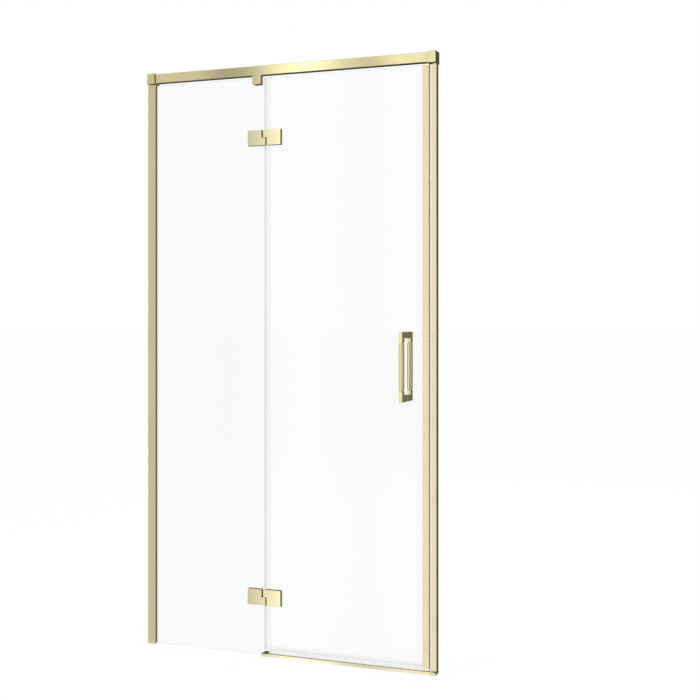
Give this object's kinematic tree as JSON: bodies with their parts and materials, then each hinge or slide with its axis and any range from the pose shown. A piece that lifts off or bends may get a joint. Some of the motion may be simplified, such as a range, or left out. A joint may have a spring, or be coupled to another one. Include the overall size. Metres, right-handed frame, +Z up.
{
  "type": "hinged shower door",
  "caption": "Glass shower door hinged on a fixed glass panel, with a top rail, wall profiles, magnetic closing seal and a double-sided pull handle.",
  "frame": {"origin": "bottom centre of the whole door, on the shower tray, in the middle plane of the glass", "axes": "+X along the opening from the fixed side to the closing side, -Y towards the outside of the shower, +Z up"},
  "size_m": [1, 0.1082, 1.9],
  "materials": {
    "gold_profile": "satin gold anodised extrusion",
    "gold_cast": "satin gold plated",
    "gold_grip": "fine brushed gold",
    "clear_glass": "clear toughened glass with polished edges",
    "clear_seal": "clear soft vinyl",
    "magnet_carrier": "pale translucent vinyl",
    "magnet_core": "bonded magnet",
    "steel": "stainless steel",
    "hinge_plastic": "white acetal",
    "hinge_rubber": "grey gasket sheet",
    "hinge_steel": "stainless steel, turned"
  },
  "bodies": {
    "frame": {"fixed_glass": "clear_glass", "fixed_glass_blocks": "clear_seal", "fixed_glass_gasket": "clear_seal", "hinge_fixed_screws": "hinge_steel", "hinge_fixed_sleeves": "hinge_plastic", "lower_hinge_fixed_gasket": "hinge_rubber", "lower_hinge_fixed_leaf": "gold_cast", "lower_hinge_pin": "hinge_steel", "lower_hinge_washer": "hinge_plastic", "rail_clamp_pad": "clear_seal", "rail_clamp_screws": "steel", "rail_end_left": "gold_cast", "rail_end_right": "gold_cast", "rail_end_screws": "steel", "rail_glass_clamp": "gold_cast", "threshold_end_left": "gold_cast", "threshold_end_right": "gold_cast", "threshold_strip": "gold_profile", "top_rail": "gold_profile", "upper_hinge_fixed_gasket": "hinge_rubber", "upper_hinge_fixed_leaf": "gold_cast", "upper_hinge_pin": "hinge_steel", "upper_hinge_washer": "hinge_plastic", "wall_channel_left": "gold_profile", "wall_magnet": "magnet_core", "wall_magnet_carrier": "magnet_carrier", "wall_profile_left": "gold_profile", "wall_profile_right": "gold_profile", "wall_profile_screws": "steel"},
    "door": {"door_glass": "clear_glass", "closing_profile": "gold_profile", "closing_profile_caps": "gold_cast", "door_magnet": "magnet_carrier", "hinge_side_seal": "clear_seal", "bottom_seal": "clear_seal", "handle_front": "gold_cast", "handle_rear": "gold_cast", "handle_grip_front": "gold_grip", "handle_grip_rear": "gold_grip", "handle_pads": "clear_seal", "handle_studs": "steel", "handle_sleeves": "clear_seal", "handle_set_screws": "steel", "hinge_door_sleeves": "hinge_plastic", "hinge_door_screws": "hinge_steel", "lower_hinge_bush": "hinge_plastic", "lower_hinge_door_gasket": "hinge_rubber", "lower_hinge_door_leaf": "gold_cast", "upper_hinge_bush": "hinge_plastic", "upper_hinge_door_gasket": "hinge_rubber", "upper_hinge_door_leaf": "gold_cast"}
  },
  "joints": [
    {"name": "door_hinge", "type": "hinge", "parent": "frame", "child": "door", "pos_m": [-0.071, -0.0115, 0.93], "axis": [0, 0, -1], "range_deg": [0, 100]}
  ]
}
